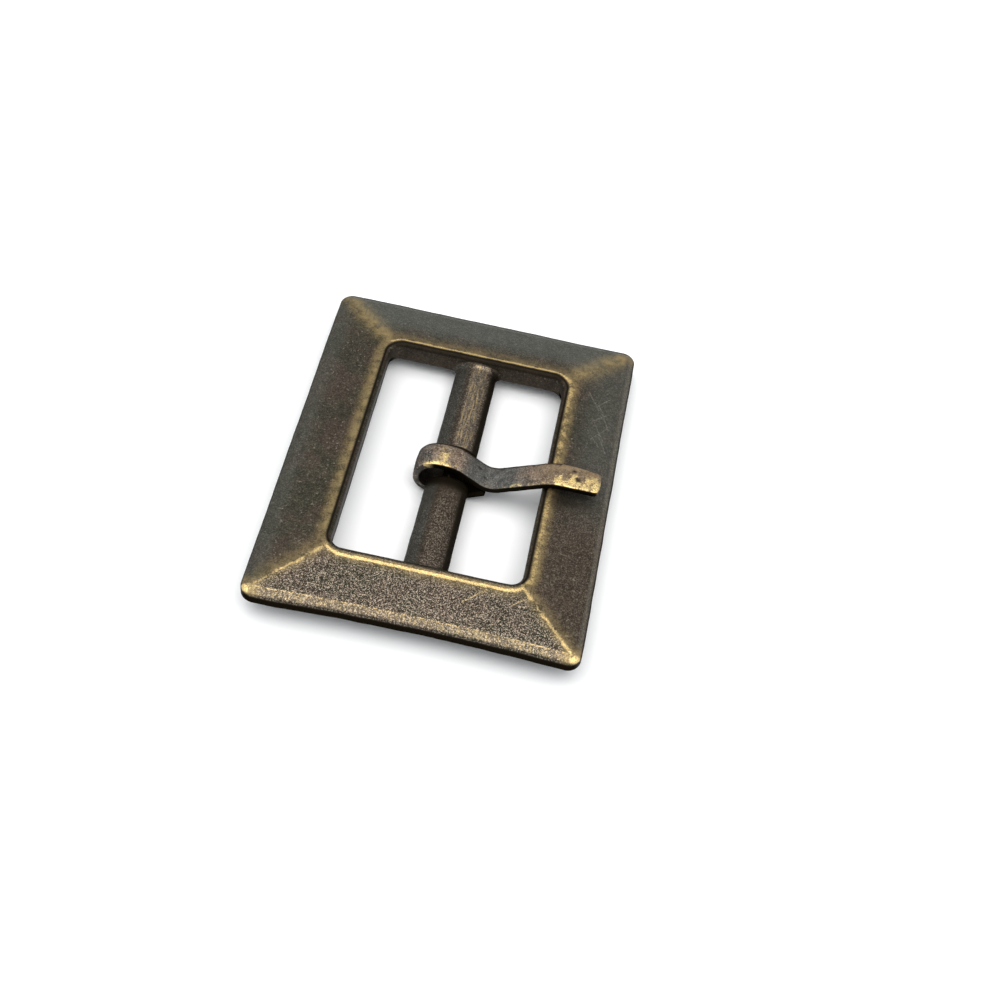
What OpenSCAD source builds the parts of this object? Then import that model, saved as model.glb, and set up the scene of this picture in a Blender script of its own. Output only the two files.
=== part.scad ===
// Center bar buckle for a 20 mm strap: a bevelled rectangular frame cast in one piece
// with its center bar, and a bent strip prong that turns on the bar's round neck.
// X runs across the bar towards the prong's tip, Y runs along the bar, Z points up.
// The origin is on the surface that the buckle lies on, under the frame's centre.

/* [Frame] */
// Overall width, across the bar
frame_w = 24; // [22:0.5:28]
// Overall length, along the bar
frame_l = 31; // [28:0.5:36]
// Width of each side of the frame, seen from above
side_w = 5.1; // [4.5:0.1:5.6]
// Height of the bevelled face where it meets the opening, above the frame's back
crest_h = 1.7; // [1.5:0.05:2]
// Rounding of the crest round the opening
crest_r = 0.4; // [0.2:0.05:0.5]
// Height of the outer wall
wall_h = 0.9; // [0.6:0.05:1]
// Width of the steeper band along the outer edge
band_w = 0.65; // [0.4:0.05:0.9]
// Rise of that band above the outer wall
band_rise = 0.3; // [0.15:0.05:0.4]
// Radius of the outer corners, seen from above
outer_r = 1; // [0.6:0.1:1.6]
// Radius of the opening's corners, seen from above
inner_r = 1; // [0.6:0.1:1.4]
// Chamfer along the foot of the outer wall
foot_chamfer = 0.15; // [0.05:0.05:0.3]

/* [Center bar] */
// Width of the bar
bar_w = 3.1; // [2.8:0.1:3.2]
// Height of the bar's crown above its flat underside
bar_h = 1.2; // [1.15:0.05:1.3]
// Height of the bar's upright sides
bar_side_h = 0.45; // [0.3:0.05:0.6]
// Radius of the round neck that the prong turns on
neck_r = 0.55; // [0.45:0.05:0.55]
// Length of that neck
neck_l = 2.9; // [2.8:0.1:3.4]
// How far the bar's roots spread to each side at the frame
root_spread = 0.4; // [0.2:0.1:0.6]

/* [Prong] */
// Width of the strip that the prong is bent from
strip_w = 2.2; // [1.8:0.1:2.2]
// Thickness of that strip
strip_t = 0.55; // [0.45:0.05:0.55]
// Where the prong sits along the bar, from the middle of the neck
prong_shift = -0.25; // [-0.25:0.05:0.25]
// Depth of the loop below the frame's back
loop_drop = 1.2; // [1.15:0.05:1.3]
// Distance from the bar's centre line to where the loop's flat underside ends
loop_x = 1.27; // [1.2:0.01:1.3]
// Length of that flat underside
loop_run = 2.25; // [2.15:0.05:2.35]
// Length of the flat tip
tip_run = 2.8; // [2.2:0.05:3]
// Radius of the tip's corners, seen from above
tip_r = 0.4; // [0.2:0.1:0.8]

/* [Hidden] */
$fn = 96;
// Overlap that joins touching solids, and how far a cutter passes a face
join = 0.1;
past = 1;
// How far each straight stretch of the strip reaches into the bends beside it
lap = 0.02;
// The frame's back lies this high above the surface, because the loop hangs below it
back_z = loop_drop;
// Half sizes of the opening
open_x = frame_w / 2 - side_w;
open_y = frame_l / 2 - side_w;
// Height of the neck's centre line above the frame's back
pivot_h = bar_h / 2;
// The crest's rounding: number of facets, the angle it turns through, how far it lowers
// the edge, and the width of its cutter as a share of its radius
crest_steps = 6;
crest_turn = 84;
crest_drop = 0.06;
crest_reach = 1.35;
// Radius of the bar's crown, from its half width and rise
crown_rise = bar_h - bar_side_h;
crown_r = (pow(bar_w / 2, 2) + pow(crown_rise, 2)) / (2 * crown_rise);
// Length of the bar's spreading roots
root_l = 1.5 * root_spread;
// Bends of the strip's middle line, seen from the near end of the bar:
// turn in degrees (left is positive), radius of the bend, straight run after it
BEND_TURN = 0;
BEND_R = 1;
BEND_RUN = 2;
// From the loop's flat underside round the bar's far side, over it and out to the tip
ARM_BENDS = [
    [-90, 1.2, 0],
    [-90, 1.6, 0.54],
    [-32, 2.3, 1.55],
    [58, 1.6, 3.4],
    [-26, 3.2, tip_run],
];
// From the same point under the bar to the strip's free end below the arm
END_BENDS = [
    [0, 0, loop_run],
    [28, 1, 1.5],
];

// Outline of the frame's section across one direction, full width, without the opening
function bevel_outline(w) = [
    [-w / 2 + foot_chamfer, 0],
    [-w / 2, foot_chamfer],
    [-w / 2, wall_h],
    [-w / 2 + band_w, wall_h + band_rise],
    [-w / 2 + side_w, crest_h],
    [w / 2 - side_w, crest_h],
    [w / 2 - band_w, wall_h + band_rise],
    [w / 2, wall_h],
    [w / 2, foot_chamfer],
    [w / 2 - foot_chamfer, 0],
];

// Section of what the crest's rounding takes away, from the opening's wall outwards
function crest_outline() = let (centre = crest_h - crest_drop - crest_r) concat(
    [[-join, crest_h + past], [-join, centre]],
    [for (i = [0 : crest_steps])
        let (a = 180 - i * crest_turn / crest_steps)
        [crest_r + crest_r * cos(a), centre + crest_r * sin(a)]],
    [[crest_reach * crest_r, crest_h + past]]
);

// A prism along Y or along X with a given section
module prism_y(outline, l) {
    rotate([90, 0, 0])
        linear_extrude(height = l, center = true)
            polygon(outline);
}
module prism_x(outline, l) {
    rotate([0, 0, 90])
        prism_y(outline, l);
}

// Upright rectangular block with rounded corners
module round_block(x, y, r, low, high) {
    translate([0, 0, low])
        linear_extrude(height = high - low)
            union() {
                square([2 * x - 2 * r, 2 * y], center = true);
                square([2 * x, 2 * y - 2 * r], center = true);
                for (sx = [-1, 1], sy = [-1, 1])
                    translate([sx * (x - r), sy * (y - r)])
                        circle(r = r);
            }
}

// Bevelled slab: two crossing prisms leave mitred faces at 45 degrees
module bevelled_slab() {
    intersection() {
        prism_y(bevel_outline(frame_w), frame_l);
        prism_x(bevel_outline(frame_l), frame_w);
        round_block(frame_w / 2, frame_l / 2, outer_r, -past, crest_h + past);
    }
}

// The opening with the rounding of the crest round it
module opening_cut() {
    round_block(open_x, open_y, inner_r, -past, crest_h + past);
    for (s = [0, 180])
        rotate([0, 0, s]) {
            translate([open_x, 0, 0])
                prism_y(crest_outline(), 2 * (open_y - inner_r));
            translate([0, open_y, 0])
                prism_x(crest_outline(), 2 * (open_x - inner_r));
        }
    for (sx = [-1, 1], sy = [-1, 1])
        translate([sx * (open_x - inner_r), sy * (open_y - inner_r), 0])
            rotate_extrude()
                translate([inner_r, 0])
                    polygon(crest_outline());
}

// Section of the bar: flat below, upright sides, round crown
module bar_section() {
    intersection() {
        translate([-bar_w / 2, 0])
            square([bar_w, bar_h + past]);
        translate([0, bar_h - crown_r])
            circle(r = crown_r);
    }
}

// One half of the bar, from the neck's shoulder into the frame, with its spreading root
module bar_half() {
    shoulder = neck_l / 2;
    translate([0, open_y + join, 0])
        rotate([90, 0, 0])
            linear_extrude(height = open_y + join - shoulder)
                bar_section();
    linear_extrude(height = bar_side_h)
        polygon([
            [-bar_w / 2, open_y - root_l],
            [bar_w / 2, open_y - root_l],
            [bar_w / 2 + root_spread, open_y + join],
            [-bar_w / 2 - root_spread, open_y + join],
        ]);
}

module neck() {
    translate([0, 0, pivot_h])
        rotate([90, 0, 0])
            cylinder(r = neck_r, h = neck_l + 2 * join, center = true);
}

// Frame and bar are one casting
module frame() {
    color([0.36, 0.32, 0.25])
        translate([0, 0, back_z])
            union() {
                difference() {
                    bevelled_slab();
                    opening_cut();
                }
                bar_half();
                rotate([0, 0, 180])
                    bar_half();
                neck();
            }
}

// One bend of the strip, starting at the origin and heading along X
module bend(turn, r) {
    mirror([0, turn < 0 ? 1 : 0, 0])
        translate([0, r, 0])
            rotate([0, 0, -90])
                rotate_extrude(angle = abs(turn))
                    translate([r, 0])
                        square([strip_t, strip_w], center = true);
}

// A straight stretch of the strip along X
module straight(l) {
    translate([0, -strip_t / 2, -strip_w / 2])
        cube([l, strip_t, strip_w]);
}

// A straight stretch that ends in round corners
module round_ended(l, r) {
    translate([0, strip_t / 2, 0])
        rotate([90, 0, 0])
            linear_extrude(height = strip_t)
                union() {
                    translate([0, -strip_w / 2])
                        square([l - r, strip_w]);
                    translate([0, -strip_w / 2 + r])
                        square([l, strip_w - 2 * r]);
                    for (s = [-1, 1])
                        translate([l - r, s * (strip_w / 2 - r)])
                            circle(r = r);
                }
}

// The strip along a list of bends, from row i on: bend, straight run, then the rest.
// The last run ends in corners of radius end_r, or square.
module strip_along(rows, end_r = 0, i = 0) {
    if (i < len(rows)) {
        turn = rows[i][BEND_TURN];
        r = rows[i][BEND_R];
        run = rows[i][BEND_RUN];
        last = i == len(rows) - 1;
        if (turn != 0)
            bend(turn, r);
        translate([r * sin(abs(turn)), sign(turn) * r * (1 - cos(turn)), 0])
            rotate([0, 0, turn]) {
                translate([-lap, 0, 0]) {
                    if (last && end_r > 0)
                        round_ended(run + lap, end_r);
                    else
                        straight(run + lap + (last ? 0 : lap));
                }
                translate([run, 0, 0])
                    strip_along(rows, end_r, i + 1);
            }
    }
}

// Prong: one strip, flat over the frame's side, bent down to the bar and looped round it
module prong() {
    color([0.48, 0.42, 0.3])
        translate([-loop_x, prong_shift, strip_t / 2])
            rotate([90, 0, 0])
                union() {
                    rotate([0, 0, 180])
                        strip_along(ARM_BENDS, tip_r);
                    strip_along(END_BENDS);
                }
}

frame();
prong();
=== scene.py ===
import math

import bmesh
import bpy
import numpy as np
from mathutils import Matrix, Vector, noise


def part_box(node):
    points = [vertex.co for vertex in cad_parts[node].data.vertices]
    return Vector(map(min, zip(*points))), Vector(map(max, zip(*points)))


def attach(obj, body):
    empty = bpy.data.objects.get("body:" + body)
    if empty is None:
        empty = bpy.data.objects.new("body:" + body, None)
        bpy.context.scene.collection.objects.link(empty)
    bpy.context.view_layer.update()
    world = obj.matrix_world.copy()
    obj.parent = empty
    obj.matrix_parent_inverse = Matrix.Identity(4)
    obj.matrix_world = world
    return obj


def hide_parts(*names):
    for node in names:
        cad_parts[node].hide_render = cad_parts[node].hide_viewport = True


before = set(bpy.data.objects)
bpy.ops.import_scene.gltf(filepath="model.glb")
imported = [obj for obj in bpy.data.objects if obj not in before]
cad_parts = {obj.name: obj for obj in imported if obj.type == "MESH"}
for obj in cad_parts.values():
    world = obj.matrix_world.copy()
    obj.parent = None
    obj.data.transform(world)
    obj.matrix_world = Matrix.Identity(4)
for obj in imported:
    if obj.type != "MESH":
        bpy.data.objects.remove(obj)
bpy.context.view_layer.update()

# Lengths in this script are millimetres until a mesh, a light or the camera is made
MM = 0.001
# Smallest and largest corner of each node, in millimetres
FRAME_LOW, FRAME_HIGH = (np.array(corner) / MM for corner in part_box("frame"))
PRONG_LOW, PRONG_HIGH = (np.array(corner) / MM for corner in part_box("prong"))

# Frame: half sizes, height of its back, and the section of its sides
HALF_X, HALF_Y = FRAME_HIGH[0], FRAME_HIGH[1]
BACK_Z = FRAME_LOW[2]
SIDE_W = 5.1
CREST_R = 0.4
CREST_DROP = 0.06
CREST_H = FRAME_HIGH[2] - BACK_Z + CREST_DROP
WALL_H = 0.9
BAND_W = 0.65
BAND_RISE = 0.3
BAND_R = 0.5
SHOULDER_R = 0.28
OUTER_FOOT_R = 0.16
INNER_FOOT_R = 0.14
OPEN_X, OPEN_Y = HALF_X - SIDE_W, HALF_Y - SIDE_W
OPEN_R = 1
# The near side's outer edge is worn inwards: where most along X, how far to each side, and how
# deep. It has small nicks, and its crest stands a little further in than the other sides'.
WORN_X, WORN_REACH, WORN_DEPTH = 0.8, 10.5, 0.33
NICK_SIZE, NICK_DEPTH = 1.4, 0.03
NEAR_CREST_SHIFT = 0.15

# Center bar
BAR_W = 3.2
BAR_H = 1.2
BAR_SIDE_H = 0.45
NECK_R = 0.55
NECK_L = 2.9
# The roots spread sideways by this much, and upwards by this share of it
ROOT_FILLET = 0.5
ROOT_LIFT = 0.6

# Prong: the strip's section, whose outer face domes a little, and the route of its middle line,
# as turns in degrees (left is positive, seen from the near end of the bar), radius of the bend,
# and straight run after it
STRIP_W = 2.2
STRIP_T = 0.55
STRIP_EDGE_R = 0.13
STRIP_DOME = 0.06
PRONG_SHIFT = -0.25
LOOP_X = 1.27
LOOP_RUN = 2.25
TIP_RUN = 2.8
ARM_BENDS = [
    (-90, 1.2, 0),
    (-90, 1.6, 0.54),
    (-32, 2.3, 1.55),
    (58, 1.6, 3.4),
    (-26, 3.2, TIP_RUN),
]
END_BENDS = [
    (0, 0, LOOP_RUN),
    (28, 1, 1.5),
]
# The strip narrows by this much on its far side, between these distances from the tip. The tip's
# corners are round seen from above.
TIP_CUT = 0.2
TIP_CUT_REACH = (0.2, 2.2)
TIP_R = 0.45

# The surface under the buckle falls away by this many degrees towards the viewer
FLOOR_TILT = 1.3

# Camera, as the photograph was taken: place, the point it looks at, and its turn about its view
CAMERA_AT = (6.61, -81.14, 94.39)
CAMERA_AIM = (4.03, -1.63, 1.2)
CAMERA_ROLL = 10.8
CAMERA_LENS = 59.66
SENSOR_W = 36
CLIP_NEAR, CLIP_FAR = 1, 10000


# Mesh helpers

def smooth(edge0, edge1, x):
    """0 below edge0, 1 above edge1, and a smooth step between them."""
    t = np.clip((x - edge0) / (edge1 - edge0), 0, 1)
    return t * t * (3 - 2 * t)


def fall(edge0, edge1, x):
    """1 below edge0, 0 above edge1, and a smooth step between them."""
    return 1 - smooth(edge0, edge1, x)


def stretch(bounds, x):
    """0 outside the outer two of four bounds, 1 between the inner two, with smooth steps."""
    start, full, fading, gone = bounds
    return smooth(start, full, x) * fall(fading, gone, x)


def ridge(distance, width):
    """1 at no distance, falling to 0 on both sides over about this width."""
    return np.exp(-(distance / width) ** 2)


def rounded_polygon(corners):
    """Closed outline through (x, y, radius, step) corners, each rounded. Points are about a step
    apart on the straight after the corner, and half a step on its arc."""
    points, steps = [], []
    count = len(corners)
    for i, (x, y, radius, step) in enumerate(corners):
        here = np.array([x, y])
        before = np.array(corners[i - 1][:2]) - here
        after = np.array(corners[(i + 1) % count][:2]) - here
        before /= np.linalg.norm(before)
        after /= np.linalg.norm(after)
        half = math.acos(np.clip(before @ after, -1, 1)) / 2
        centre = here + (before + after) / np.linalg.norm(before + after) * radius / math.sin(half)
        start = here + before * radius / math.tan(half) - centre
        turn = math.pi - 2 * half
        sign = math.copysign(1, before[1] * after[0] - before[0] * after[1])
        parts = max(4, math.ceil(2 * radius * turn / step))
        for angle in np.linspace(0, sign * turn, parts + 1):
            c, s = math.cos(angle), math.sin(angle)
            points.append(centre + [c * start[0] - s * start[1], s * start[0] + c * start[1]])
            steps.append(step)
    outline = []
    for a, b, step in zip(points, points[1:] + points[:1], steps):
        parts = max(1, math.ceil(np.linalg.norm(b - a) / step))
        outline += [a + (b - a) * k / parts for k in range(parts)]
    return np.array(outline)


def ring_mesh(rings, caps=False):
    """Vertices and faces of a tube through rings of equal length, which closes on itself or has
    caps at its ends."""
    count, size = len(rings), len(rings[0])
    rows = count - 1 if caps else count
    k = np.arange(size)
    faces = []
    for i in range(rows):
        a, b = i * size, (i + 1) % count * size
        quads = np.column_stack([a + k, a + (k + 1) % size, b + (k + 1) % size, b + k])
        faces += quads.tolist()
    if caps:
        faces.append(list(range(size))[::-1])
        faces.append([(count - 1) * size + j for j in range(size)])
    return np.vstack(rings), faces


def make_object(name, points, faces):
    """An object at the origin whose mesh holds these points, in millimetres."""
    mesh = bpy.data.meshes.new(name)
    mesh.from_pydata((np.asarray(points) * MM).tolist(), [], faces)
    mesh.validate()
    shell = bmesh.new()
    shell.from_mesh(mesh)
    bmesh.ops.recalc_face_normals(shell, faces=shell.faces)
    shell.to_mesh(mesh)
    shell.free()
    mesh.update()
    made = bpy.data.objects.new(name, mesh)
    bpy.context.scene.collection.objects.link(made)
    return made


def points_of(made):
    """An object's vertices, in millimetres."""
    flat = np.zeros(len(made.data.vertices) * 3, np.float32)
    made.data.vertices.foreach_get("co", flat)
    return flat.reshape(-1, 3).astype(float) / MM


def normals_of(made):
    flat = np.zeros(len(made.data.vertices) * 3, np.float32)
    made.data.vertex_normals.foreach_get("vector", flat)
    return flat.reshape(-1, 3).astype(float)


def set_points(made, points):
    made.data.vertices.foreach_set("co", (points * MM).astype(np.float32).ravel())
    made.data.update()


def set_mask(made, name, values):
    """Stores a value from 0 to 1 for each vertex, which the materials read by this name."""
    made.data.attributes.new(name, "FLOAT", "POINT")
    clipped = np.clip(values, 0, 1).astype(np.float32)
    made.data.attributes[name].data.foreach_set("value", clipped)


def wobble(points, size, offset=(0, 0, 0)):
    """Smooth noise from about -1 to 1, with lumps about this many millimetres wide."""
    return np.array([noise.noise(Vector(p / size) + Vector(offset)) for p in points])


def shade_smooth(made):
    made.data.polygons.foreach_set("use_smooth", [True] * len(made.data.polygons))


# Frame and bar

# Distance in from the outline, and the radius of the corners there: round at the outer wall and
# at the opening, tight along the mitres
CORNER_RADII = [(0, 1.0), (0.5, 0.85), (1.3, 0.4), (3.9, 0.4), (4.5, 0.75), (SIDE_W, 1.0)]
# Number of points on each corner of a level line, and on its two short and two long straights
CORNER_POINTS, SHORT_POINTS, LONG_POINTS = 15, 91, 121
# Number of points on the bar's crown, its underside and its upright sides
CROWN_POINTS, BELOW_POINTS, UPRIGHT_POINTS = 25, 17, 6
# The bar's sections are this far apart, with this many along the neck. It runs this far into the
# frame. At the neck's shoulders, over this length, its section shrinks to this share.
BAR_STEP = 0.14
NECK_POINTS = 16
BAR_INTO_FRAME = 1
SHOULDER_CHAMFER = 0.12
SHOULDER_SHARE = 0.92


def level_line(inset, height):
    """Points round the frame at this distance in from its outline."""
    r = np.interp(inset, *zip(*CORNER_RADII))
    x, y = HALF_X - inset - r, HALF_Y - inset - r
    centres = [(x, y), (-x, y), (-x, -y), (x, -y)]
    line = []
    for k, centre in enumerate(centres):
        angles = math.pi / 2 * (k + np.linspace(0, 1, CORNER_POINTS))
        arc = centre + r * np.column_stack([np.cos(angles), np.sin(angles)])
        following = centres[(k + 1) % 4] + r * np.array([math.cos(angles[-1]), math.sin(angles[-1])])
        share = np.linspace(0, 1, SHORT_POINTS if k % 2 == 0 else LONG_POINTS)[1:-1, None]
        line += [arc, arc[-1] + share * (following - arc[-1])]
    flat = np.vstack(line)
    return np.column_stack([flat, np.full(len(flat), BACK_Z + height)])


def frame_sides():
    """The four bevelled sides, as one section carried round the opening."""
    section = rounded_polygon([
        (0, 0, OUTER_FOOT_R, 0.12),
        (0, WALL_H, SHOULDER_R, 0.1),
        (BAND_W, WALL_H + BAND_RISE, BAND_R, 0.1),
        (SIDE_W, CREST_H, CREST_R, 0.12),
        (SIDE_W, 0, INNER_FOOT_R, 0.5),
    ])
    rings = [level_line(inset, height) for inset, height in section]
    return make_object("frame_sides", *ring_mesh(rings[::-1]))


def bar_section(width, height, side):
    """Section of the bar: flat below, upright sides and a round crown, with soft edges."""
    rise = height - side
    radius = ((width / 2) ** 2 + rise ** 2) / (2 * rise)
    reach = math.asin(width / 2 / radius)
    crown = [(radius * math.sin(a), height - radius + radius * math.cos(a))
             for a in np.linspace(reach, -reach, CROWN_POINTS)]
    below = [(x, 0) for x in np.linspace(-width / 2, width / 2, BELOW_POINTS)]
    left = [(-width / 2, z) for z in np.linspace(side, 0, UPRIGHT_POINTS)[1:-1]]
    right = [(width / 2, z) for z in np.linspace(0, side, UPRIGHT_POINTS)[1:-1]]
    outline = np.array(crown + left + below + right)
    softened = outline.copy()
    for _ in range(2):
        softened = softened / 2 + (np.roll(softened, 1, 0) + np.roll(softened, -1, 0)) / 4
    return softened


def neck_section():
    """Round section with the same number of points as the bar's, in the same order."""
    outline = bar_section(BAR_W, BAR_H, BAR_SIDE_H)
    middle = np.array([0, BAR_H / 2])
    away = outline - middle
    angles = np.arctan2(away[:, 1], away[:, 0])
    return middle + NECK_R * np.column_stack([np.cos(angles), np.sin(angles)])


def bar_and_neck():
    """The bar from one side of the frame to the other, with the round neck in its middle."""
    shoulder = NECK_L / 2
    start = shoulder + SHOULDER_CHAMFER
    end = OPEN_Y + BAR_INTO_FRAME
    full = bar_section(BAR_W, BAR_H, BAR_SIDE_H)
    middle = np.array([0, BAR_H / 2])
    sections = {"bar": full, "edge": middle + (full - middle) * SHOULDER_SHARE, "neck": neck_section()}
    stations = [(y, "bar") for y in np.arange(-end, -start, BAR_STEP)]
    stations += [(-start, "bar"), (-shoulder, "edge"), (-shoulder, "neck")]
    stations += [(y, "neck") for y in np.linspace(-shoulder, shoulder, NECK_POINTS)[1:-1]]
    stations += [(shoulder, "neck"), (shoulder, "edge"), (start, "bar")]
    stations += [(y, "bar") for y in np.arange(start, end, BAR_STEP)[1:]]
    rings = []
    for y, kind in stations:
        section = sections[kind]
        close = np.clip(abs(y) - (OPEN_Y - ROOT_FILLET), 0, ROOT_FILLET)
        flare = ROOT_FILLET - math.sqrt(ROOT_FILLET ** 2 - close ** 2)
        grown = section * [1 + 2 * flare / BAR_W, 1 + ROOT_LIFT * flare / BAR_H]
        rings.append(np.column_stack([grown[:, 0], np.full(len(grown), y), BACK_Z + grown[:, 1]]))
    return make_object("bar", *ring_mesh(rings, caps=True))


def joined(whole, part):
    """The union of two closed meshes, in the first one's object."""
    union = whole.modifiers.new("union", "BOOLEAN")
    union.operation = "UNION"
    union.solver = "EXACT"
    union.object = part
    graph = bpy.context.evaluated_depsgraph_get()
    mesh = bpy.data.meshes.new_from_object(whole.evaluated_get(graph))
    whole.modifiers.clear()
    whole.data = mesh
    bpy.data.objects.remove(part)
    return whole


def uneven(made, amounts):
    """Moves the surface in and out, by (size, depth) pairs, as no casting or strip is quite even."""
    points, normals = points_of(made), normals_of(made)
    depth = np.zeros(len(points))
    for k, (size, amount) in enumerate(amounts):
        depth += amount * wobble(points, size, (7.3 * k, 3.1, 1.7))
    set_points(made, points + normals * depth[:, None])


# Wear beside the opening, by the distance outwards from its edge. The faces are rubbed outside a
# black line: where the rub starts, is full, starts to fade and ends, or its middle and width
NEAR_RUB = (0.52, 0.64, 0.7, 0.9)
RIGHT_RUB = (0.4, 0.5, 0.6, 1.1)
FAR_RUB, FAR_RUB_W = 0.55, 0.1
# Dull gold on the near, far, right and left sides: strength, where it starts to fade, and its end
DULL_BESIDE = [(0.6, 0.5, 1.5), (0.4, 0.5, 1.9), (0.9, 0.6, 1.5), (0.7, 0.5, 1.5)]
# Middle and width of the black line, a painted dark reflection with painted shade, which the near side
# doesn't have in this form
SHADE_LINE, SHADE_LINE_W = 0.3, 0.1
# Dull gold along a mitre: how wide it is on the near side's face, on the right and left sides'
# faces beside it, and along the far mitres
HAZE_NEAR, HAZE_RIGHT, HAZE_LEFT, HAZE_FAR = 0.45, 0.6, 0.85, 0.75
# A broken light line at the inner edge of the steep band: its distance in, and its width
LINE_IN, LINE_W = 0.66, 0.08
# The corners are rubbed round a point this far in from both edges
RUBBED_CORNER_IN = 0.4
# Along X, the streaked stretch of the bar's crown
CROWN_STREAKS = (-0.45, -0.2, 0.7, 1.1)
# Along the bar, where the loop's painted shadow, with some grime, starts, is full, and ends
LOOP_SHADOW_START, LOOP_SHADOW_FULL, LOOP_SHADOW_END = -3.2, -1.9, 1.6
# Painted shade on the right side below the prong's tip, its shadow and dark reflection, with some grime:
# its place, and its reach
TIP_SHADE_X, TIP_SHADE_REACH_X = 8.7, 1.5
TIP_SHADE_Y, TIP_SHADE_REACH_Y = -1.8, 0.8
# The bar and its roots lie within this distance of the middle
BAR_REACH = 3
# Lumps of the casting's surface and of the strip's: their size and depth
FRAME_UNEVEN = [(5.0, 0.035), (1.3, 0.018), (0.5, 0.007)]
PRONG_UNEVEN = [(1.6, 0.02), (0.5, 0.012)]


class FramePlaces:
    """Where each vertex of the casting is, and how far it belongs to each side."""

    def __init__(self, made):
        self.points = points_of(made)
        self.x, self.y, z = self.points.T
        self.height = z - BACK_Z
        in_x, in_y = HALF_X - abs(self.x), HALF_Y - abs(self.y)
        self.inset = np.minimum(in_x, in_y)
        self.from_corner = np.hypot(in_x - RUBBED_CORNER_IN, in_y - RUBBED_CORNER_IN)
        # Distance outwards from the opening's edge, which has round corners
        corner_x, corner_y = abs(self.x) - OPEN_X + OPEN_R, abs(self.y) - OPEN_Y + OPEN_R
        self.to_crest = np.hypot(np.maximum(corner_x, 0), np.maximum(corner_y, 0)) - OPEN_R
        self.outside = smooth(0.3, 0.5, self.to_crest)
        self.on_sides = (self.to_crest > -0.05) | (abs(self.x) > BAR_REACH)
        self.on_face = self.on_sides * smooth(WALL_H - 0.15, WALL_H, self.height)
        self.bar = 1.0 * ~self.on_sides
        # Distance from the mitre, above 0 on the near and far sides
        self.mitre = (in_x - in_y) / math.sqrt(2)
        self.along_mitre = smooth(0.3, 0.9, self.inset) * self.outside
        self.across = smooth(-0.2, 0.2, self.mitre)
        self.is_near, self.is_right = self.y < 0, self.x > 0
        self.near, self.far = self.across * self.is_near, self.across * ~self.is_near
        upright = 1 - self.across
        self.left, self.right = upright * ~self.is_right, upright * self.is_right
        self.band = smooth(0.05, 0.2, self.inset) * fall(0.6, 0.8, self.inset + 0.25 * self.right)

    def by_side(self, near=0, far=0, left=0, right=0):
        """The value given for the side that each vertex is on, blended across the mitres."""
        return near * self.near + far * self.far + left * self.left + right * self.right


def frame_rub(at):
    """Bright metal beside the opening, along the near mitres and at the near corners."""
    crest = at.near * stretch(NEAR_RUB, at.to_crest)
    crest += at.far * ridge(at.to_crest - FAR_RUB, FAR_RUB_W)
    crest += 0.4 * at.right * stretch(RIGHT_RUB, at.to_crest)
    broken = wobble(at.points, 0.6)
    mitre_line = at.along_mitre * at.is_near * np.where(at.is_right, 0.75, 0.6)
    mitre_line *= ridge(at.mitre - 0.04 - 0.12 * broken, 0.15) * (0.85 + 0.5 * broken)
    corner = at.is_near * fall(0.1, 0.65, at.from_corner)
    return at.on_face * np.maximum.reduce([crest, mitre_line, corner])


def frame_glow(at):
    """Round the rubbed places the finish is thin, and dull gold shows through."""
    sides = [at.near > 0.5, at.far > 0.5, at.is_right, ~at.is_right]
    beside = np.select(sides, [
        strength * fall(start, end, at.to_crest) for strength, start, end in DULL_BESIDE])
    near_haze = np.where(at.mitre > 0, HAZE_NEAR, np.where(at.is_right, HAZE_RIGHT, HAZE_LEFT))
    haze = ridge(at.mitre, np.where(at.is_near, near_haze, HAZE_FAR))
    haze *= at.along_mitre * np.where(at.is_near, 0.5, 0.75)
    corner = np.where(at.is_near, 0.7, 0.5) * fall(0.3, 1.6, at.from_corner)
    return at.on_face * np.maximum.reduce([at.outside * beside, haze, corner, 0.1 * at.near * at.band])


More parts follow.
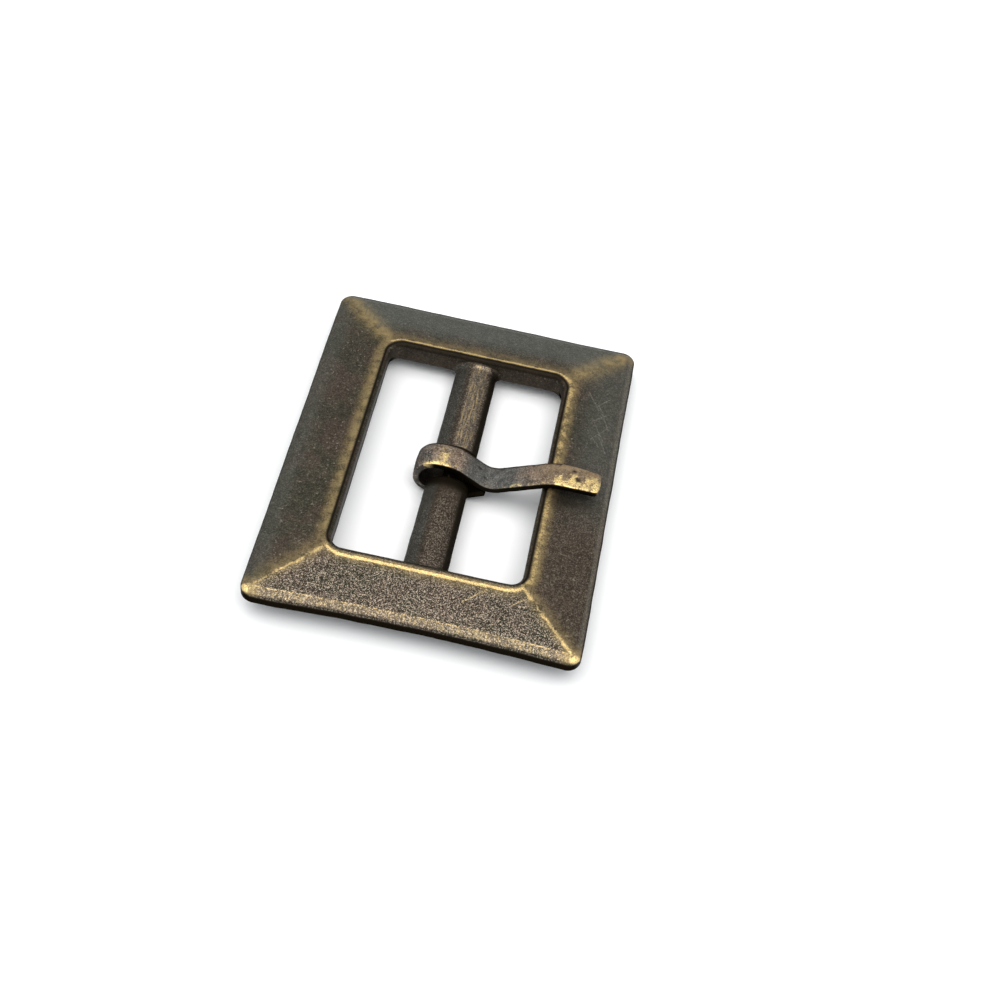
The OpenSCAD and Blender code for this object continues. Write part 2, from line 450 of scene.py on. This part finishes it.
def frame_soot_and_shade(at):
    """Soot on the outer wall and its rim; round the opening, soot with painted shade and painted dark
    reflections; painted shade below the prong's tip; and on the bar, painted shade on its sides and the
    loop's painted shadow.
    """
    outer = at.on_sides * (at.inset < SIDE_W / 2) * fall(WALL_H - 0.22, WALL_H - 0.05, at.height)
    outer *= 0.7 + 0.3 * at.near
    rim = at.far * fall(0.12, 0.4, at.inset) + 0.8 * (1 - at.across) * fall(0.04, 0.16, at.inset)
    # A painted dark reflection with painted shade, in a line just inside the crest
    shade_line = (1 - at.near) * ridge(at.to_crest - SHADE_LINE, SHADE_LINE_W + 0.04 * at.far)
    # Painted shade and dark reflection where the near and far crests round into the opening
    near_round_shade = 0.45 * fall(0.34, 0.42, at.to_crest) + 0.5 * fall(0.14, 0.24, at.to_crest)
    far_round_shade = 0.75 * at.far * fall(0.34, 0.4, at.to_crest) * smooth(1.3, 1.5, at.height)
    # The opening's inner walls are dark; on the left and right sides the foot is darkest, with painted
    # shade
    foot_shade = 1 - 0.7 * (1 - at.across) * smooth(0.35, 0.6, at.height) - 0.75 * at.far
    wall = smooth(0.08, 0, at.to_crest) * foot_shade
    # Painted shade below the prong's tip, partly grime
    tip_shade = 0.55 * ridge(at.x - TIP_SHADE_X, TIP_SHADE_REACH_X) * ridge(at.y - TIP_SHADE_Y, TIP_SHADE_REACH_Y)
    by_opening = np.maximum.reduce([shade_line, at.near * near_round_shade, far_round_shade, wall, tip_shade])
    # Painted shade on the bar's steep sides: its right edge and its left part
    flank_shade = np.where(at.is_right, 0.85 * smooth(1.0, 1.3, at.x), 0.45 * smooth(0.2, 0.5, -at.x))
    # The loop's painted shadow on the bar, partly grime, and a light darkening over the rest of the bar
    # short of its far end
    loop_shadow = np.maximum(smooth(LOOP_SHADOW_START, LOOP_SHADOW_FULL, at.y), 0.15) * (at.y < LOOP_SHADOW_END)
    return np.maximum.reduce([
        outer, at.on_sides * rim, at.on_sides * by_opening, at.bar * flank_shade, at.bar * loop_shadow])


def frame_masks(made):
    """How far the finish is worn off, where soot and painted shade fill it, and which way each side
    runs.
    """
    at = FramePlaces(made)
    crown = at.bar * stretch(CROWN_STREAKS, at.x) * (at.y > 0)
    warm_right = 0.8 * at.right * smooth(2, -4, at.y)
    warm_far = 0.7 * at.far * fall(0.8, 2.4, at.to_crest)
    # The near side's many bare flecks are partly wear and partly painted glints
    flecked = at.by_side(near=1, far=0.2, left=0.15, right=0.15 + 0.15 * (at.y < -2))
    # Along the left side's outer edge, slate is a painted highlight
    cool_left = 0.1 + 0.4 * fall(0.7, 1.8, at.inset)
    cool_right = 0.6 * np.maximum(smooth(-6, 1, at.y), 0.6 * at.band)
    cool = smooth(0.8, 3.2, at.to_crest) * at.by_side(far=1, left=cool_left, right=cool_right)
    masks = {
        "rub": frame_rub(at),
        "glow": frame_glow(at),
        "band": at.on_face * at.band * at.by_side(near=0.85, far=0.1, right=0.25) + crown,
        "line": at.on_face * ridge(at.inset - LINE_IN, LINE_W) * at.by_side(near=0.6, right=0.3),
        "soot_and_shade": frame_soot_and_shade(at),
        "warm": np.maximum.reduce([at.bar, warm_right, warm_far]),
        "across": np.maximum(at.across, at.bar),
        "flecked": flecked + (0.1 + 0.9 * (at.y > 0)) * at.bar,
        # Slate on the bar's left part is a painted cool reflection
        "cool": cool + 0.7 * at.bar * smooth(-0.4, -1.0, at.x),
    }
    for name, values in masks.items():
        set_mask(made, name, values)


def worn_edges(made):
    """The near side's outer edge bows inwards with use, and its crest stands a little further in."""
    points = points_of(made)
    x, y = points[:, 0], points[:, 1]
    bow = WORN_DEPTH * np.clip(1 - ((x - WORN_X) / WORN_REACH) ** 2, 0, 1)
    nicks = NICK_DEPTH * wobble(np.column_stack([x, x * 0, x * 0]), NICK_SIZE)
    outer = fall(-HALF_Y + 0.3, -HALF_Y + 2.2, y)
    inner = stretch((-OPEN_Y - 1.6, -OPEN_Y - 0.2, -OPEN_Y + 0.3, -OPEN_Y + 2.5), y)
    points[:, 1] += outer * np.maximum(bow + nicks, 0) + NEAR_CREST_SHIFT * inner
    set_points(made, points)


def build_frame(material):
    made = joined(frame_sides(), bar_and_neck())
    made.name = "frame_casting"
    frame_masks(made)
    worn_edges(made)
    uneven(made, FRAME_UNEVEN)
    shade_smooth(made)
    made.data.materials.append(material)
    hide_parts("frame")
    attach(made, "frame")


# Prong

# The strip's two ends are rounded off over this length
END_SOFT = 0.14
# Distances from the tip over which the rub, the dull gold and the warm colour fade
TIP_RUB, TIP_GLOW, TIP_WARM = (2.7, 4.0), (2.8, 6.0), (3.5, 6.0)
# Distances from the free end over which its painted shade fades
FREE_END_SHADE = (2.6, 3.6)
# Along X: the top of the loop, and the arm's dip, which is cooler in colour
LOOP_TOP = -0.6
ARM_DIP = (0.4, 1.8, 4.2, 6.2)


def walk(place, heading, bends, step=0.09):
    """Points and headings (degrees) along bends, in the plane of X and Z, from a place on."""
    places, headings = [np.array(place, float)], [heading]
    for turn, radius, run in bends:
        length = abs(math.radians(turn)) * radius
        parts = max(1, math.ceil(length / step)) if turn else 0
        for _ in range(parts):
            chord = 2 * radius * math.sin(math.radians(abs(turn)) / parts / 2)
            middle = math.radians(headings[-1] + turn / parts / 2)
            places.append(places[-1] + chord * np.array([math.cos(middle), math.sin(middle)]))
            headings.append(headings[-1] + turn / parts)
        parts = max(1, math.ceil(run / step)) if run else 0
        along = np.array([math.cos(math.radians(headings[-1])), math.sin(math.radians(headings[-1]))])
        for _ in range(parts):
            places.append(places[-1] + along * run / parts)
            headings.append(headings[-1])
    return places, headings


def strip_route():
    """The strip's middle line from its free end, under and round the bar, and out to the tip."""
    start = (-LOOP_X, STRIP_T / 2)
    end_places, end_headings = walk(start, 0, END_BENDS)
    arm_places, arm_headings = walk(start, 180, ARM_BENDS)
    places = end_places[:0:-1] + arm_places
    headings = [h + 180 for h in end_headings[:0:-1]] + arm_headings
    places = np.array(places)
    travelled = np.concatenate([[0], np.cumsum(np.linalg.norm(np.diff(places, axis=0), axis=1))])
    return places, np.radians(headings), travelled


def strip_edges(travelled, length):
    """Where the strip's near and far edges lie along the bar, this far along the strip."""
    to_tip = length - travelled
    near = PRONG_SHIFT - STRIP_W / 2
    far = PRONG_SHIFT + STRIP_W / 2 - TIP_CUT * fall(*TIP_CUT_REACH, to_tip)
    return near, far


def strip_section():
    """Closed outline of the strip's section, from -1 to 1 across it, inner face below."""
    corners = [(-1, -STRIP_T / 2), (-1, STRIP_T / 2), (1, STRIP_T / 2), (1, -STRIP_T / 2)]
    return rounded_polygon([(*corner, STRIP_EDGE_R, 0.1) for corner in corners])


def strip_ring(section, place, heading, travelled, length):
    """The section at a place on the strip's route, narrower and thinner where its end is rounded."""
    near, far = strip_edges(travelled, length)
    close = max(0, END_SOFT - min(length - travelled, travelled))
    round_off = END_SOFT - math.sqrt(END_SOFT ** 2 - close ** 2)
    turned = max(0, TIP_R - (length - travelled))
    half = (far - near) / 2 - round_off - TIP_R + math.sqrt(TIP_R ** 2 - turned ** 2)
    share, level = section.T
    inner = 1 - STRIP_EDGE_R
    edge = np.sign(share) * (half - 1 + abs(share))
    across = np.where(abs(share) > inner, edge, share / inner * (half - STRIP_EDGE_R))
    lift = level - STRIP_DOME * (across / half) ** 2 * (level > 0)
    up = np.array([-math.sin(heading), math.cos(heading)]) * (1 - 2 * round_off / STRIP_T)
    return np.column_stack([place[0] + up[0] * lift, (near + far) / 2 + across, place[1] + up[1] * lift])


def prong_strip():
    """The bent strip, each vertex's distance along it, the side that each vertex is on (1 outside
    the loop, -1 inside), and the strip's length."""
    places, headings, travelled = strip_route()
    length = travelled[-1]
    section = strip_section()
    rings = [strip_ring(section, *row, length) for row in zip(places, headings, travelled)]
    along = np.repeat(travelled, len(section))
    facing = np.tile(section[:, 1] / STRIP_T * 2, len(rings))
    made = make_object("prong_strip", *ring_mesh(rings, caps=True))
    return made, along, facing, length


def prong_rub(x, y, over_back, top, to_tip):
    """Bright metal on the tip, over the loop and along the arm's near edge."""
    near_edge = ridge(y - PRONG_LOW[1], 0.35)
    tip = fall(*TIP_RUB, to_tip) * top * (0.05 + 0.6 * smooth(0.25, -0.7, y))
    loop_top = 0.7 * ridge(x - LOOP_TOP, 0.28) * top * smooth(1.2, 1.6, over_back) * smooth(0.9, -0.2, y)
    loop_edge = near_edge * smooth(1.3, 1.8, over_back) * fall(-0.4, 1.2, x)
    arm_edge = 0.25 * near_edge * top * smooth(2.5, 4.5, x)
    end_face = fall(0.02, 0.1, to_tip)
    return np.maximum.reduce([tip, 0.7 * loop_top, 0.8 * loop_edge, arm_edge, 0.5 * end_face])


def prong_shade(x, y, normal, facing, along, to_tip):
    """Painted shade on the strip's sides and underside, inside the loop, and on its free end."""
    side = np.maximum(smooth(0.55, 0.85, abs(normal[:, 1])), 0.9 * smooth(0.25, 0.6, normal[:, 1]))
    side *= 1 - 0.85 * smooth(-1.1, -1.7, x)
    underside = 0.4 * smooth(0.1, -0.4, normal[:, 2]) * (x > -1.2)
    inside = 0.85 * smooth(-0.7, -0.95, facing) * (x < 1.5)
    far_edge = smooth(PRONG_HIGH[1] - 0.3, PRONG_HIGH[1] - 0.1, y) * (to_tip > 3)
    left = 0.65 * smooth(0.75, 0.95, -normal[:, 0]) * (facing > 0.9) * (x < -1.5)
    free_end = fall(*FREE_END_SHADE, along)
    dark = np.maximum.reduce([side, underside, left, inside, free_end, 0.9 * far_edge])
    return dark * (to_tip > 0.1)


def prong_masks(made, along, facing, length):
    """Where the prong is rubbed bright and where painted shade darkens it."""
    x, y, z = points_of(made).T
    normal = normals_of(made)
    to_tip = length - along
    top = smooth(0.2, 0.8, normal[:, 2])
    nowhere = np.zeros(len(x))
    masks = {
        "rub": prong_rub(x, y, z - BACK_Z, top, to_tip),
        "soot_and_shade": prong_shade(x, y, normal, facing, along, to_tip),
        "glow": top * np.maximum(0.65 * fall(*TIP_GLOW, to_tip), 0.25 * ridge(x - LOOP_TOP, 0.8)),
        "warm": fall(*TIP_WARM, to_tip) + ridge(x - 0.5, 0.8),
        "flecked": 0.3 * top,
        "cool": 0.8 * stretch(ARM_DIP, x),
        "band": nowhere,
        "line": nowhere,
        "across": nowhere,
    }
    for name, values in masks.items():
        set_mask(made, name, values)


def build_prong(material):
    made, along, facing, length = prong_strip()
    prong_masks(made, along, facing, length)
    uneven(made, PRONG_UNEVEN)
    shade_smooth(made)
    made.data.materials.append(material)
    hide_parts("prong")
    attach(made, "prong")


# Materials

class Surface:
    """A material's node tree, with short calls for the nodes that it uses."""

    def __init__(self, name):
        self.material = bpy.data.materials.new(name)
        self.material.use_nodes = True
        self.tree = self.material.node_tree
        self.tree.nodes.clear()
        self.shader = self.add("ShaderNodeBsdfPrincipled")
        output = self.add("ShaderNodeOutputMaterial")
        self.link(self.shader.outputs[0], output.inputs["Surface"])
        place = self.add("ShaderNodeTexCoord").outputs["Object"]
        self.place = self.vector("SCALE", place, scale=1 / MM)
        self.flat = self.vector("MULTIPLY", self.place, (1, 1, 0))

    def add(self, kind, **settings):
        node = self.tree.nodes.new(kind)
        for key, value in settings.items():
            setattr(node, key, value)
        return node

    def link(self, source, target):
        if isinstance(source, (int, float)):
            target.default_value = source
        elif isinstance(source, tuple):
            target.default_value = source if target.type == "VECTOR" else (*source, 1)
        else:
            self.tree.links.new(source, target)

    def vector(self, operation, a, b=None, scale=None, output="Vector"):
        node = self.add("ShaderNodeVectorMath", operation=operation)
        self.link(a, node.inputs[0])
        if b is not None:
            self.link(b, node.inputs[1])
        if scale is not None:
            self.link(scale, node.inputs["Scale"])
        return node.outputs[output]

    def mask(self, name):
        return self.add("ShaderNodeAttribute", attribute_name=name).outputs["Fac"]

    def noise(self, size, detail=3, roughness=0.55, warp=0, stretch=(1, 1, 1)):
        """Noise from 0 to 1 with lumps about this many millimetres wide, and longer along an axis
        whose stretch is above 1."""
        node = self.add("ShaderNodeTexNoise")
        scaled = self.vector("DIVIDE", self.place, tuple(size * share for share in stretch))
        self.link(scaled, node.inputs["Vector"])
        node.inputs["Scale"].default_value = 1
        node.inputs["Detail"].default_value = detail
        node.inputs["Roughness"].default_value = roughness
        node.inputs["Distortion"].default_value = warp
        return node.outputs["Fac"]

    def step(self, value, low, high, to_low=0, to_high=1):
        node = self.add("ShaderNodeMapRange", interpolation_type="SMOOTHSTEP")
        for socket, source in zip(node.inputs, (value, low, high, to_low, to_high)):
            self.link(source, socket)
        return node.outputs[0]

    def math(self, operation, a, b=0.0):
        node = self.add("ShaderNodeMath", operation=operation)
        self.link(a, node.inputs[0])
        self.link(b, node.inputs[1])
        return node.outputs[0]

    def sum(self, *terms):
        """Sum of plain values and of (value, share) pairs, which count from 0.5, the middle of
        their range."""
        total = 0.0
        for term in terms:
            if isinstance(term, tuple):
                value, share = term
                term = self.math("MULTIPLY", self.math("SUBTRACT", value, 0.5), share)
            total = self.math("ADD", total, term)
        return total

    def times(self, *factors):
        product = 1.0
        for factor in factors:
            product = self.math("MULTIPLY", product, factor)
        return product

    def without(self, value):
        return self.math("SUBTRACT", 1.0, value)

    def mix(self, share, a, b):
        node = self.add("ShaderNodeMix", data_type="RGBA")
        self.link(share, node.inputs["Factor"])
        self.link(a, node.inputs["A"])
        self.link(b, node.inputs["B"])
        return node.outputs["Result"]

    def bump(self, height, depth, normal=None):
        """A bump this many millimetres deep."""
        node = self.add("ShaderNodeBump")
        node.inputs["Distance"].default_value = depth * MM
        self.link(height, node.inputs["Height"])
        if normal is not None:
            self.link(normal, node.inputs["Normal"])
        return node.outputs["Normal"]

    def mark(self, start, end, width):
        """1 along a straight mark seen from above, falling to 0 this many millimetres to each side."""
        length = math.dist(start, end)
        along = ((end[0] - start[0]) / length, (end[1] - start[1]) / length, 0)
        away = self.vector("SUBTRACT", self.flat, (*start, 0))
        reach = self.vector("DOT_PRODUCT", away, along, output="Value")
        reach = self.math("MINIMUM", self.math("MAXIMUM", reach, 0.0), length)
        nearest = self.vector("SCALE", along, scale=reach)
        distance = self.vector("DISTANCE", away, nearest, output="Value")
        return self.step(distance, 0, width, 1, 0)

    def marks(self, rows):
        """The strongest of several marks, each (start, end, width, strength)."""
        strongest = 0.0
        for start, end, width, strength in rows:
            mark = self.times(self.mark(start, end, width), strength)
            strongest = self.math("MAXIMUM", strongest, mark)
        return strongest


# Scratches and pits as seen from above: start, end, half width and strength
FRAME_SCRATCHES = [
    ((3.12, -12.64), (4.62, -11.28), 0.09, 0.8),
    ((6.55, -12.10), (7.28, -11.43), 0.08, 0.7),
    ((-11.13, -7.78), (-10.84, -7.77), 0.07, 0.8),
    ((-10.70, -8.80), (-10.30, -8.80), 0.07, 0.6),
    ((9.06, -5.03), (9.10, -5.03), 0.08, 1.0),
    ((-7.72, -2.72), (-7.68, -2.72), 0.1, 0.9),
    ((-11.27, -3.90), (-11.25, -3.90), 0.08, 0.8),
    ((9.90, 8.60), (10.90, 6.40), 0.11, 0.5),
    ((10.90, 8.20), (9.60, 6.90), 0.11, 0.5),
    ((9.50, 7.20), (10.60, 5.20), 0.11, 0.55),
    ((10.80, 6.60), (9.70, 5.00), 0.11, 0.5),
    ((10.20, 5.60), (11.00, 4.00), 0.11, 0.5),
    ((9.30, 5.90), (10.40, 4.40), 0.11, 0.45),
    ((9.00, 9.60), (9.90, 8.20), 0.11, 0.45),
    ((10.60, 9.60), (9.80, 8.60), 0.11, 0.45),
]
FRAME_NOTCHES = [
    ((6.58, -12.23), (8.65, -12.12), 0.11, 0.35),
]
PRONG_SCRATCHES = [
    ((3.10, -0.60), (4.10, 0.30), 0.06, 0.5),
    ((3.40, -1.00), (3.90, 0.10), 0.06, 0.5),
    ((2.20, -0.40), (3.20, -1.10), 0.06, 0.4),
]
PRONG_PITS = [
    ((8.97, 0.28), (9.01, 0.28), 0.22, 1.0),
    ((9.28, -0.38), (9.34, -0.50), 0.26, 1.0),
    ((2.10, 0.10), (2.16, 0.10), 0.2, 0.7),
    ((2.60, -0.50), (2.66, -0.50), 0.18, 0.6),
]


# Colours of each finish: the three tones of its patina, its bare flecks, dull gold where it is
# thin, and gold where it is rubbed through
FRAME_TONES = {
    "olive": (0.029, 0.0275, 0.0175),
    "russet": (0.0415, 0.03, 0.0215),
    "slate": (0.068, 0.069, 0.058),
    "fleck": (0.19, 0.156, 0.121),
    "dull": (0.28, 0.205, 0.092),
    "gold": (0.72, 0.52, 0.23),
}
PRONG_TONES = {
    "olive": (0.078, 0.071, 0.064),
    "russet": (0.138, 0.094, 0.065),
    "slate": (0.076, 0.077, 0.072),
    "fleck": (0.45, 0.39, 0.32),
    "dull": (0.24, 0.168, 0.09),
    "gold": (0.76, 0.57, 0.25),
}
# Soot and painted shade, and the flecks where the patina is slate
SOOT_AND_SHADE = (0.011, 0.0085, 0.005)
COOL_FLECK = (0.2, 0.2, 0.185)
# How strong the blotches are in each finish
FRAME_PATCHY, PRONG_PATCHY = 0.3, 0.8
# The patina, and bare metal: how metallic and how rough
PATINA_METAL, BARE_METAL = 0.45, 0.9
PATINA_ROUGH, BARE_ROUGH = 0.36, 0.24
# How strongly finish and paper reflect, and the grey that tints the finish's reflections
GLOSS, GLOSS_TINT = 0.2, 0.4
# Depths of the bumps of the grain and the blotches
GRAIN_DEPTH, BLOTCH_DEPTH = 0.03, 0.02
# The paper's two shades, its roughness, and the size of the patches of each shade
PAPER, PAPER_LIGHT, PAPER_ROUGH = (0.86, 0.865, 0.87), (0.88, 0.88, 0.88), 0.8
PAPER_PATCH = 30


class Finish(Surface):
    """The masks and the noises, from broad to fine, that the layers of a worn finish share."""

    def __init__(self, name, patchy):
        super().__init__(name)
        self.patchy = patchy
        self.rub, self.line, self.glow = self.mask("rub"), self.mask("line"), self.mask("glow")
        self.band, self.across, self.soot_and_shade = self.mask("band"), self.mask("across"), self.mask("soot_and_shade")
        self.warm, self.cool, self.flecked = self.mask("warm"), self.mask("cool"), self.mask("flecked")
        self.broad = self.noise(3.4, 3, 0.6)
        self.patch = self.noise(1.5, 3, 0.6)
        self.blotch = self.noise(0.6, 3, 0.65)
        self.clump = self.step(self.sum(self.blotch, (self.patch, 0.5)), 0.36, 0.64)
        self.grain = self.noise(0.12, 2, 0.6, 0.6)
        self.fine = self.noise(0.08, 1, 0.5)
        drawn_out = self.noise(0.12, 2, 0.5, stretch=(1, 10, 1))
        self.streak = self.mix(self.across, self.grain, drawn_out)

    def patina(self, olive, russet, slate):
        """Patches of olive, russet and slate, darker in blotches."""
        patches = self.step(self.sum(self.broad, (self.patch, 0.7)), 0.38, 0.62)
        reddish = self.math("MAXIMUM", patches, self.warm)
        base = self.mix(self.cool, self.mix(reddish, olive, russet), slate)
        shade = self.step(self.clump, 0, 1, 1 - 0.45 * self.patchy, 1 + 0.45 * self.patchy)
        shade = self.times(shade, self.step(self.grain, 0.35, 0.65, 0.75, 1.25))
        shade = self.math("ADD", shade, self.times(self.without(shade), self.cool, 0.6))
        return self.vector("SCALE", base, scale=shade)

    def bare(self, scratch):
        """Bare flecks, a little closer together on the band along the outer edge, a few bright
        specks, and scratches."""
        dense = self.sum(self.grain, (self.blotch, 0.2), (self.fine, 0.8), self.times(self.band, 0.02))
        bare = self.times(self.step(dense, 0.47, 0.62), self.flecked)
        speck = self.times(self.step(self.noise(0.2, 0), 0.66, 0.78), self.without(self.cool), 0.6)
        bare = self.math("MAXIMUM", bare, speck)
        bare = self.math("MAXIMUM", bare, self.times(self.band, self.step(self.across, 0, 1, 1.5, 0.4)))
        return self.times(self.math("MAXIMUM", bare, scratch), self.without(self.soot_and_shade))

    def thin(self):
        """Where dull gold shows, uneven and drawn out along the streaks."""
        mottle = self.sum(self.blotch, (self.patch, 0.6), (self.grain, 0.3), (self.streak, 0.4))
        thin = self.times(self.glow, self.step(mottle, 0.2, 0.75, 0.3, 1.2))
        return self.times(thin, self.without(self.soot_and_shade))

    def worn(self, scratch, pit):
        """Where the finish is rubbed through to gold."""
        ragged = self.sum(self.rub, (self.clump, self.patchy), (self.grain, 0.9), (self.streak, 0.3))
        broken = self.step(self.sum(self.blotch, (self.grain, 0.8)), 0.4, 0.6)
        ragged = self.math("MAXIMUM", ragged, self.times(self.line, broken))
        near_rub = self.step(self.math("MAXIMUM", self.rub, self.line), 0.02, 0.2)
        worn = self.times(self.step(ragged, 0.2, 0.95), near_rub)
        on_band = self.times(self.band, self.step(self.streak, 0.45, 0.75), 0.38)
        worn = self.math("MAXIMUM", worn, on_band)
        worn = self.math("MAXIMUM", worn, self.times(scratch, self.across, 0.55))
        return self.times(worn, self.without(self.soot_and_shade), self.without(pit))


def antique_brass(name, tones, patchy, scratches, pits):
    """Dark patina over brass: matt and mottled, flecked with bare metal, rubbed bright where worn."""
    s = Finish(name, patchy)
    scratch = s.times(s.marks(scratches), s.step(s.sum(s.grain, (s.fine, 0.5)), 0.3, 0.5))
    pit = s.marks(pits)
    bare, worn = s.bare(scratch), s.worn(scratch, pit)
    base = s.patina(tones["olive"], tones["russet"], tones["slate"])
    bright = s.step(s.sum(s.fine, (s.noise(0.16, 1), 1.0)), 0.4, 0.75, 0.65, 1.6)
    fleck = s.vector("SCALE", s.mix(s.cool, tones["fleck"], COOL_FLECK), scale=bright)
    base = s.mix(bare, base, fleck)
    base = s.mix(s.thin(), base, tones["dull"])
    base = s.mix(worn, base, tones["gold"])
    # Soot, painted shade and pits take the dark colour
    dark = s.math("MAXIMUM", s.soot_and_shade, s.times(pit, 0.85))
    base = s.mix(dark, base, SOOT_AND_SHADE)
    s.link(base, s.shader.inputs["Base Color"])
    # The patina is half metallic, and soot and painted shade are a dark metal
    metal = s.step(s.math("MAXIMUM", bare, worn), 0, 1, PATINA_METAL, BARE_METAL)
    s.link(s.math("MAXIMUM", metal, dark), s.shader.inputs["Metallic"])
    rough = s.step(s.math("MAXIMUM", bare, worn), 0, 1, PATINA_ROUGH, BARE_ROUGH)
    rough = s.sum(rough, s.times(s.fine, 0.05), s.times(dark, 0.2))
    s.link(rough, s.shader.inputs["Roughness"])
    s.shader.inputs["Specular IOR Level"].default_value = GLOSS
    s.shader.inputs["Specular Tint"].default_value = (GLOSS_TINT, GLOSS_TINT, GLOSS_TINT, 1)
    height = s.sum(s.grain, s.times(s.fine, 0.4), s.times(pit, -4.0))
    depth = s.bump(height, GRAIN_DEPTH, s.bump(s.blotch, BLOTCH_DEPTH))
    s.link(depth, s.shader.inputs["Normal"])
    return s.material


def paper():
    """Plain white paper."""
    s = Surface("paper")
    base = s.mix(s.noise(PAPER_PATCH, 2), PAPER, PAPER_LIGHT)
    s.link(base, s.shader.inputs["Base Color"])
    s.shader.inputs["Roughness"].default_value = PAPER_ROUGH
    s.shader.inputs["Specular IOR Level"].default_value = GLOSS
    return s.material


# Setting

# The surface reaches this far to each side
FLOOR_REACH = 1500
# Light from all round: its colour, and how strong it is by its direction. Each pair is the
# direction's Y or Z, from -1 to 1, and a strength. The strength by Z multiplies the rest.
ROOM_COLOR = (0.94, 0.97, 1.0, 1)
ROOM_BEHIND, ROOM_BEFORE = (0.35, 0.35), (-0.3, 0.7)
ROOM_HORIZON, ROOM_ABOVE = (0.0, 0.35), (0.35, 1.0)


def build_floor():
    """The surface that the buckle lies on, balanced on its loop, so that both ends are clear of it."""
    loop_y = PRONG_HIGH[1]
    slope = math.tan(math.radians(FLOOR_TILT))
    corners = [(FLOOR_REACH * x, FLOOR_REACH * y) for x, y in ((-1, -1), (1, -1), (1, 1), (-1, 1))]
    points = [(x, y, (y - loop_y) * slope) for x, y in corners]
    floor = make_object("floor", points, [(0, 1, 2, 3)])
    floor.data.materials.append(paper())


def area_light(name, at, size, power, color):
    """A soft light at a place, in millimetres, facing the buckle."""
    lamp = bpy.data.lights.new(name, "AREA")
    lamp.shape = "RECTANGLE"
    lamp.size, lamp.size_y = size[0] * MM, size[1] * MM
    lamp.energy = power
    lamp.color = color
    made = bpy.data.objects.new(name, lamp)
    made.location = Vector(at) * MM
    made.rotation_euler = (-Vector(at)).to_track_quat("-Z", "Y").to_euler()
    bpy.context.scene.collection.objects.link(made)


def ramp(tree, source, low, high):
    """A value carried from one range to another, which low and high give as (from, to) pairs."""
    node = tree.nodes.new("ShaderNodeMapRange")
    for socket, value in zip(node.inputs[1:5], (low[0], high[0], low[1], high[1])):
        socket.default_value = value
    tree.links.new(source, node.inputs[0])
    return node.outputs[0]


def combined(tree, operation, *sources):
    """The outcome of a math node with these inputs."""
    node = tree.nodes.new("ShaderNodeMath")
    node.operation = operation
    for source, socket in zip(sources, node.inputs):
        tree.links.new(source, socket)
    return node.outputs[0]


def build_room():
    """Soft light from all round: dim behind the buckle and near the horizon, brightest at the sides."""
    world = bpy.data.worlds.new("studio")
    world.use_nodes = True
    tree = world.node_tree
    background = tree.nodes["Background"]
    background.inputs["Color"].default_value = ROOM_COLOR
    axes = tree.nodes.new("ShaderNodeSeparateXYZ")
    tree.links.new(tree.nodes.new("ShaderNodeTexCoord").outputs["Generated"], axes.inputs[0])
    x, y, z = axes.outputs
    front = ramp(tree, y, ROOM_BEHIND, ROOM_BEFORE)
    side = combined(tree, "MULTIPLY_ADD", x, x, front)
    horizon = ramp(tree, z, ROOM_HORIZON, ROOM_ABOVE)
    strength = combined(tree, "MULTIPLY", side, horizon)
    tree.links.new(strength, background.inputs["Strength"])
    bpy.context.scene.world = world


def build_lights():
    area_light(
        "top_softbox", at=(-10, -35, 450), size=(700, 520), power=2.6, color=(1.0, 0.985, 0.96))
    area_light(
        "far_panel", at=(0, 500, 240), size=(500, 240), power=0.3, color=(0.97, 0.98, 0.96))
    build_room()
    bpy.context.scene.view_settings.view_transform = "Standard"


def build_camera():
    data = bpy.data.cameras.new("camera")
    data.sensor_width = SENSOR_W
    data.lens = CAMERA_LENS
    data.clip_start, data.clip_end = CLIP_NEAR * MM, CLIP_FAR * MM
    camera = bpy.data.objects.new("camera", data)
    at, aim = Vector(CAMERA_AT) * MM, Vector(CAMERA_AIM) * MM
    look = (aim - at).to_track_quat("-Z", "Y").to_matrix()
    turn = Matrix.Rotation(math.radians(CAMERA_ROLL), 3, "Z")
    camera.matrix_world = Matrix.Translation(at) @ (look @ turn).to_4x4()
    bpy.context.scene.collection.objects.link(camera)
    bpy.context.scene.camera = camera


build_camera()
build_lights()
build_floor()
build_frame(antique_brass("frame_brass", FRAME_TONES, FRAME_PATCHY, FRAME_SCRATCHES, FRAME_NOTCHES))
build_prong(antique_brass("prong_brass", PRONG_TONES, PRONG_PATCHY, PRONG_SCRATCHES, PRONG_PITS))
